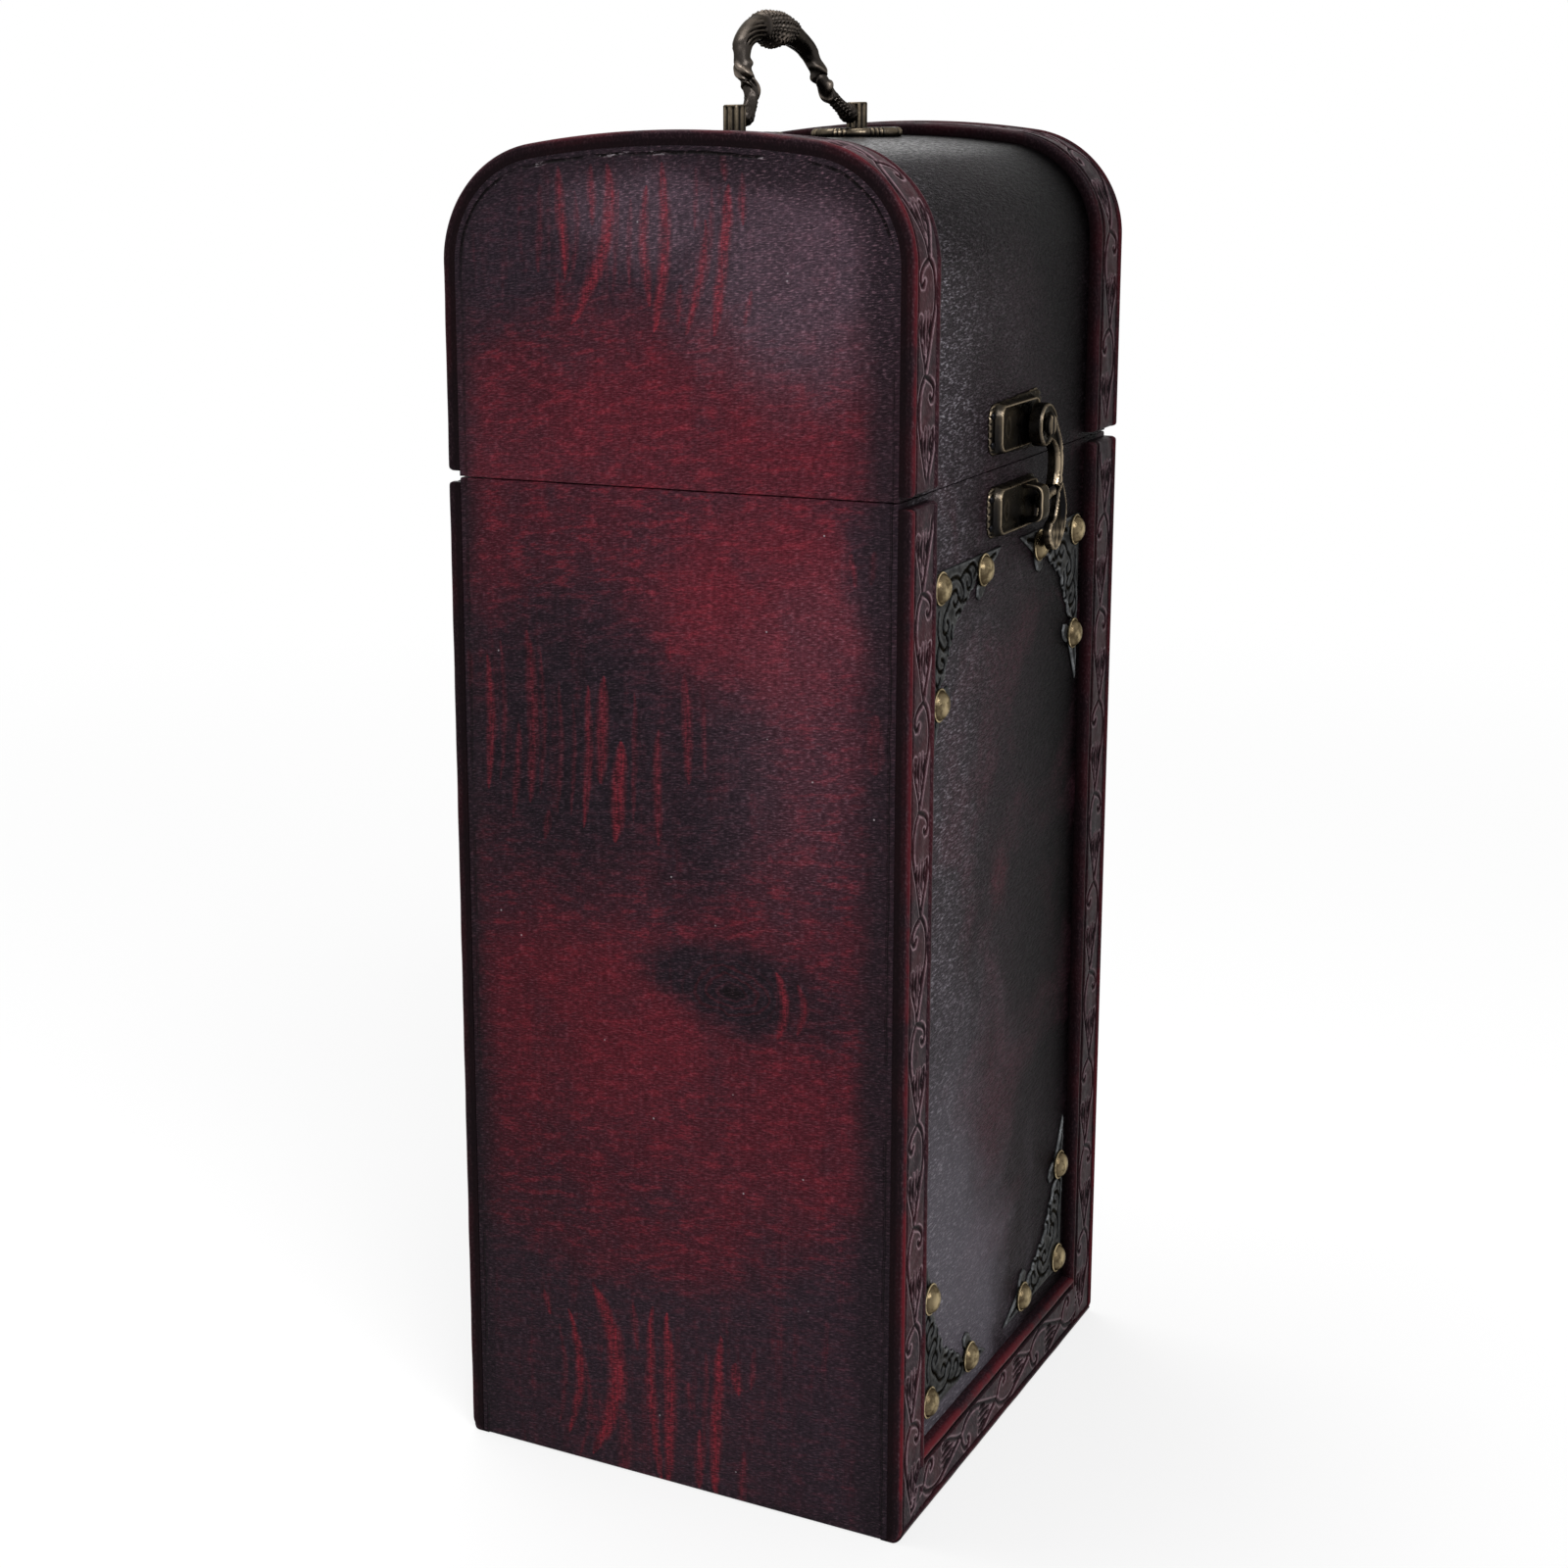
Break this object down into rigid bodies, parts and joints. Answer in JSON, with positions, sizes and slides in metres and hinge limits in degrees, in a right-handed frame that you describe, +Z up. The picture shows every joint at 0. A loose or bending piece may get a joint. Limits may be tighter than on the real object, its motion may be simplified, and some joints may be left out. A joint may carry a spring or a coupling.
{
  "type": "wooden wine box",
  "caption": "Upright single-bottle wooden box with a domed hinged lid, carved edge mouldings, metal corner plates, a hook latch and a carrying handle.",
  "frame": {"origin": "middle of the case's foot, on the surface it stands on", "axes": "+Z up, -Y out of the front with the latch, +X to the right as seen from the front"},
  "size_m": [0.143, 0.1264, 0.3636],
  "materials": {
    "side_wood": "satin wine-red stain with smoky dark patches",
    "front_wood": "satin near-black stain with fine grain",
    "bottom_wood": "matt dark stain",
    "moulding_wood": "satin dark red-brown stain, rubbed red on the beads",
    "stamped_plate": "dark antique pewter",
    "tack_brass": "aged pale brass",
    "antique_bronze": "antique bronze, rubbed bright on the edges",
    "hinge_bronze": "antique bronze",
    "screw_steel": "zinc plated"
  },
  "bodies": {
    "box": {"left_side_panel": "side_wood", "right_side_panel": "side_wood", "bottom_panel": "bottom_wood", "front_panel": "front_wood", "back_panel": "front_wood", "front_left_moulding": "moulding_wood", "front_right_moulding": "moulding_wood", "front_bottom_moulding": "moulding_wood", "back_left_moulding": "moulding_wood", "back_right_moulding": "moulding_wood", "back_bottom_moulding": "moulding_wood", "lower_left_corner_plate": "stamped_plate", "lower_right_corner_plate": "stamped_plate", "upper_left_corner_plate": "stamped_plate", "upper_right_corner_plate": "stamped_plate", "corner_tacks": "tack_brass", "latch_lower_plate": "antique_bronze", "latch_lower_pins": "antique_bronze", "hinge_left_box_leaf": "hinge_bronze", "hinge_right_box_leaf": "hinge_bronze", "hinge_left_pin": "hinge_bronze", "hinge_right_pin": "hinge_bronze", "hinge_box_screws": "hinge_bronze"},
    "lid": {"lid_left_side_panel": "side_wood", "lid_right_side_panel": "side_wood", "lid_shell": "front_wood", "lid_left_moulding": "moulding_wood", "lid_right_moulding": "moulding_wood", "latch_upper_plate": "antique_bronze", "latch_upper_pins": "antique_bronze", "latch_rivet": "antique_bronze", "handle_left_rosette": "antique_bronze", "handle_right_rosette": "antique_bronze", "handle_left_post": "antique_bronze", "handle_right_post": "antique_bronze", "handle_screws": "screw_steel", "hinge_left_lid_leaf": "hinge_bronze", "hinge_right_lid_leaf": "hinge_bronze", "hinge_lid_screws": "hinge_bronze"},
    "hook": {"latch_hook": "antique_bronze"},
    "handle": {"handle_bail": "antique_bronze"}
  },
  "joints": [
    {"name": "lid_hinge", "type": "hinge", "parent": "box", "child": "lid", "pos_m": [0, 0.0599, 0.2533], "axis": [-1, 0, 0], "range_deg": [0, 105]},
    {"name": "hook_swing", "type": "hinge", "parent": "lid", "child": "hook", "pos_m": [0.0093, -0.0615, 0.262], "axis": [0, -1, 0], "range_deg": [-18, 100]},
    {"name": "handle_swing", "type": "hinge", "parent": "lid", "child": "handle", "pos_m": [0, 0, 0.3372], "axis": [-1, 0, 0], "range_deg": [-103, 67]}
  ]
}
